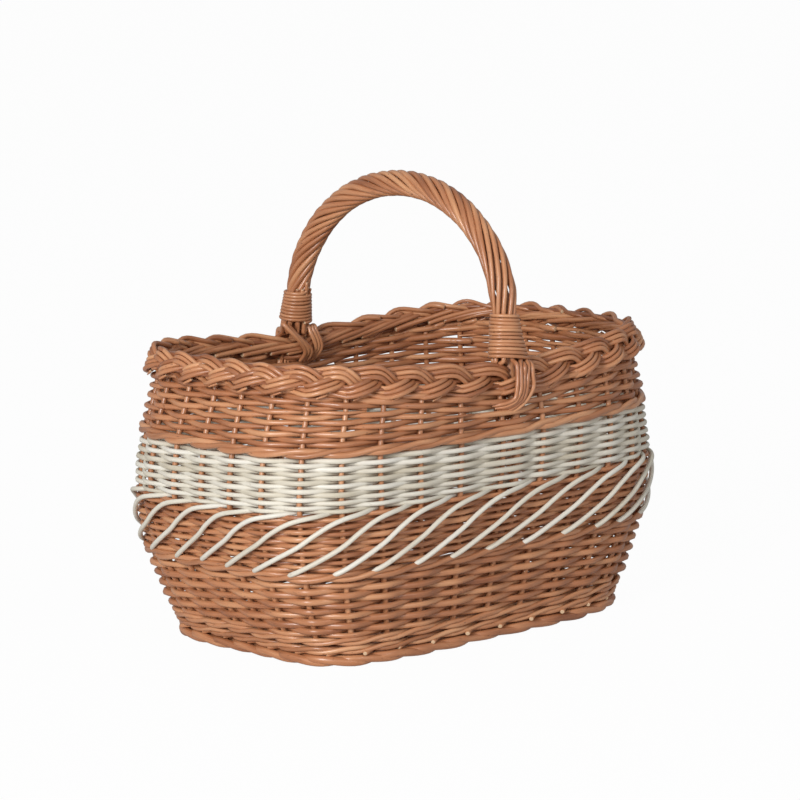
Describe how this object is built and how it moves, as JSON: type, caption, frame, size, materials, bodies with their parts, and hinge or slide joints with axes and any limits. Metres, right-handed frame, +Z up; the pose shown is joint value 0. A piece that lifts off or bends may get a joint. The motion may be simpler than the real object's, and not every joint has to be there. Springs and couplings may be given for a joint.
{
  "type": "foraging basket",
  "caption": "Woven willow foraging basket with a flared rectangular body, a band of peeled white willow, a plaited border and a twisted cross handle.",
  "frame": {"origin": "on the ground under the middle of the basket", "axes": "+X along the basket, +Y across it along the handle, +Z up"},
  "size_m": [0.4414, 0.3094, 0.3698],
  "materials": {
    "brown_willow": "satin, stripped and steamed willow",
    "pale_willow": "satin, lighter stripped willow",
    "white_willow": "satin, peeled white willow"
  },
  "bodies": {
    "root": {"base_stick_1": "brown_willow", "base_stick_2": "brown_willow", "base_stick_3": "brown_willow", "base_stick_4": "brown_willow", "base_stick_5": "brown_willow", "base_stick_6": "brown_willow", "base_weave": "pale_willow", "foot_wale_lower": "brown_willow", "foot_wale_upper": "pale_willow", "stake_01": "pale_willow", "stake_02": "pale_willow", "stake_03": "pale_willow", "stake_04": "pale_willow", "stake_05": "pale_willow", "stake_06": "pale_willow", "stake_07": "pale_willow", "stake_08": "pale_willow", "stake_09": "pale_willow", "stake_10": "pale_willow", "stake_11": "pale_willow", "stake_12": "pale_willow", "stake_13": "pale_willow", "stake_14": "pale_willow", "stake_15": "pale_willow", "stake_16": "pale_willow", "stake_17": "pale_willow", "stake_18": "pale_willow", "stake_19": "pale_willow", "stake_20": "pale_willow", "stake_21": "pale_willow", "stake_22": "pale_willow", "stake_23": "pale_willow", "stake_24": "pale_willow", "stake_25": "pale_willow", "stake_26": "pale_willow", "stake_27": "pale_willow", "stake_28": "pale_willow", "stake_29": "pale_willow", "stake_30": "pale_willow", "stake_31": "pale_willow", "stake_32": "pale_willow", "stake_33": "pale_willow", "upsett_wale": "pale_willow", "lower_weave": "brown_willow", "lower_wale": "pale_willow", "fine_weave": "brown_willow", "white_tail_rods": "white_willow", "white_band": "white_willow", "upper_wale": "pale_willow", "upper_weave": "brown_willow", "border_strand_1": "brown_willow", "border_strand_2": "brown_willow", "border_strand_3": "brown_willow", "handle_bow": "pale_willow", "handle_bundle_1": "brown_willow", "handle_bundle_2": "brown_willow", "handle_bundle_3": "brown_willow", "handle_bundle_4": "brown_willow", "near_binding": "pale_willow", "far_binding": "pale_willow"}
  },
  "joints": []
}
